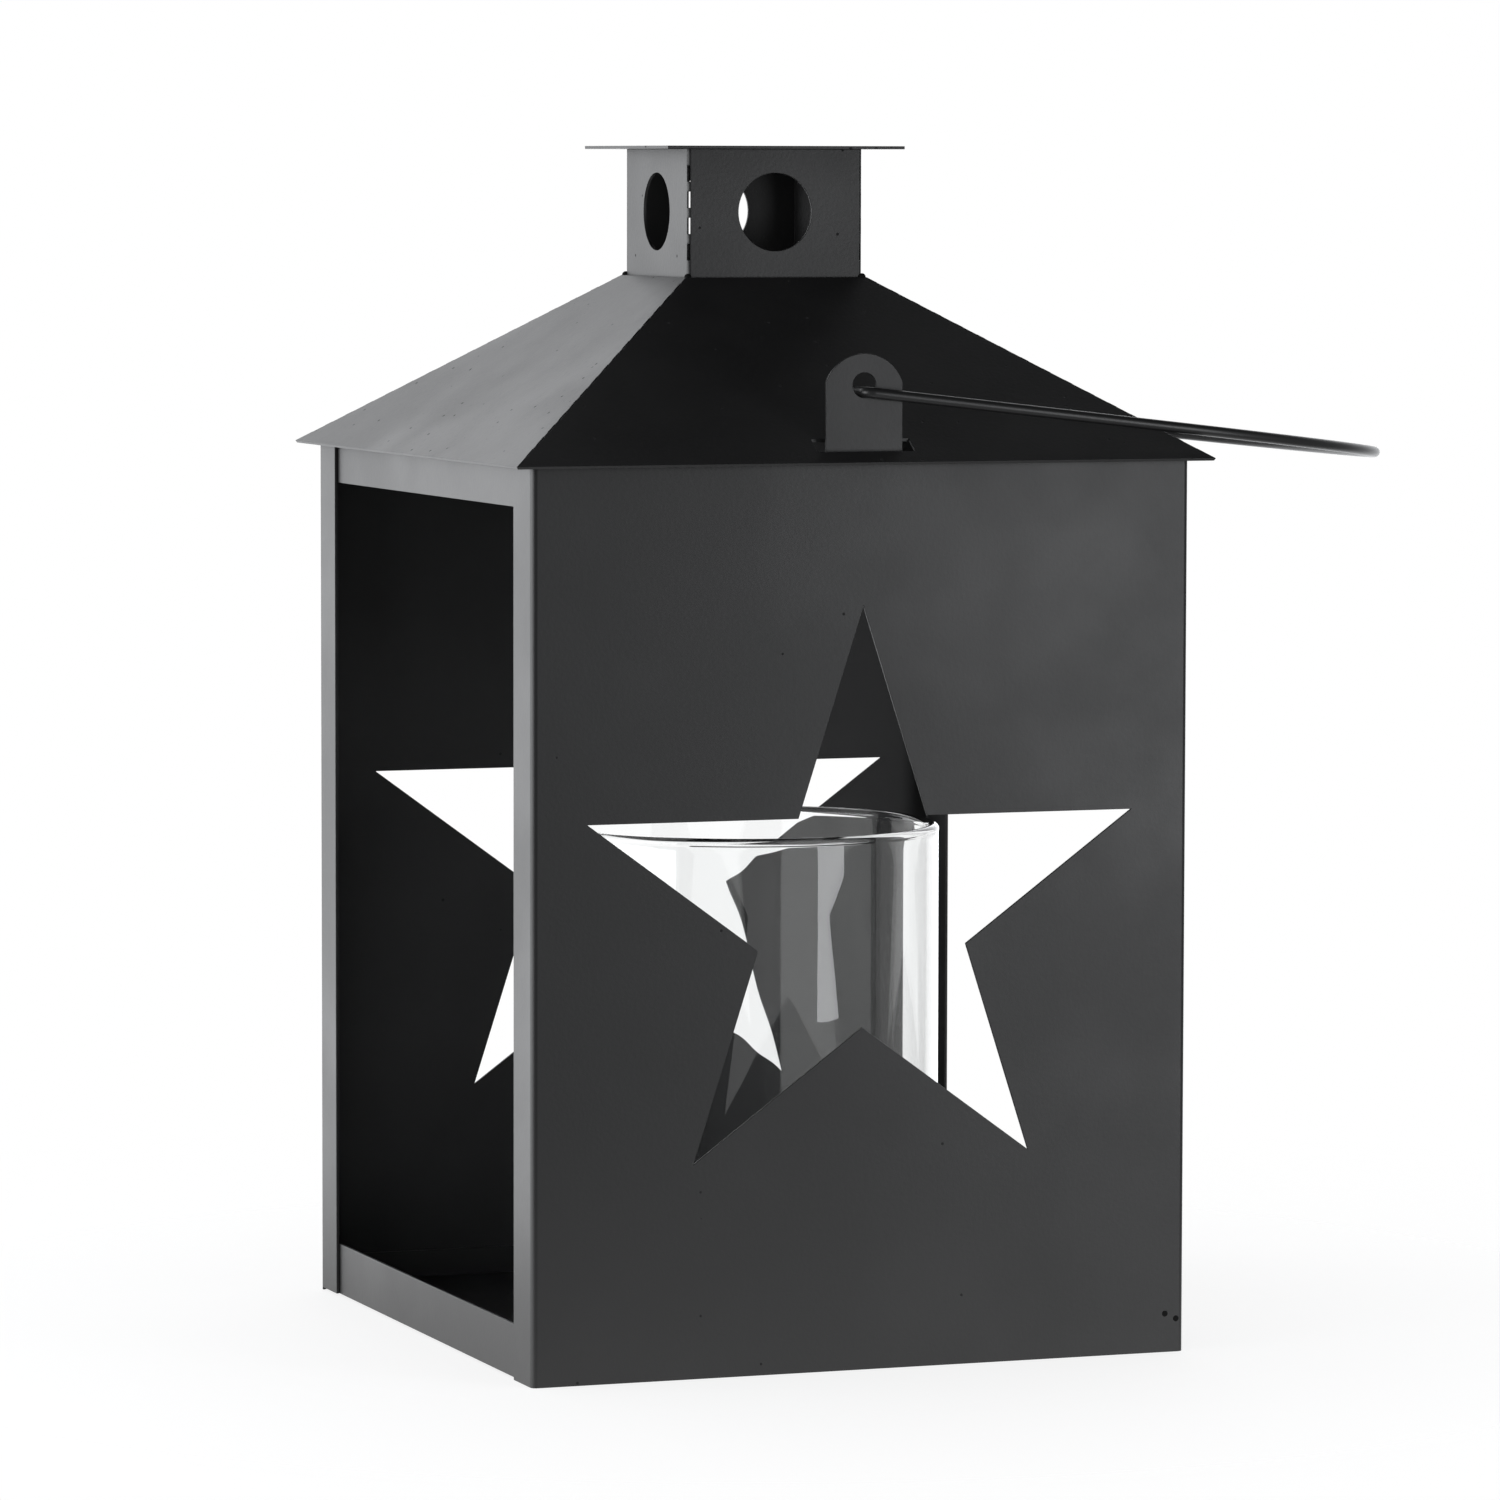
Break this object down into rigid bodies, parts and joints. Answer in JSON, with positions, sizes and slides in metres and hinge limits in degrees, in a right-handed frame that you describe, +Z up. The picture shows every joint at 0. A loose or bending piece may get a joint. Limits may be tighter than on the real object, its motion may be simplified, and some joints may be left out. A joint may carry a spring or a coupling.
{
  "type": "candle lantern",
  "caption": "Square sheet steel candle lantern with star cut-outs, open side windows, hipped roof, vented chimney, wire bail and a clear glass insert.",
  "frame": {"origin": "middle of the underside of the floor's pressed seat, on the table that the lantern stands on", "axes": "+X to the right along the front star panel, towards which the bail rests; +Y from the front star panel to the rear one; +Z up"},
  "size_m": [0.271, 0.1898, 0.3126],
  "materials": {
    "black_coat": "satin black powder coat on folded sheet steel",
    "wire_coat": "satin black coat on steel wire",
    "clear_glass": "clear pressed glass with a melted rim"
  },
  "bodies": {
    "lantern": {"front_left_wall": "black_coat", "rear_right_wall": "black_coat", "floor_pan": "black_coat", "roof": "black_coat", "chimney": "black_coat", "chimney_cap": "black_coat"},
    "bail": {"bail_handle": "wire_coat"},
    "glass": {"glass_insert": "clear_glass"}
  },
  "joints": [
    {"name": "bail_swing", "type": "hinge", "parent": "lantern", "child": "bail", "pos_m": [0, 0, 0.25025], "axis": [0, -1, 0], "range_deg": [0, 193]},
    {"name": "glass_lift_out", "type": "slide", "parent": "lantern", "child": "glass", "axis": [-0.9063, 0, 0.4226], "range_m": [0, 0.16]}
  ]
}
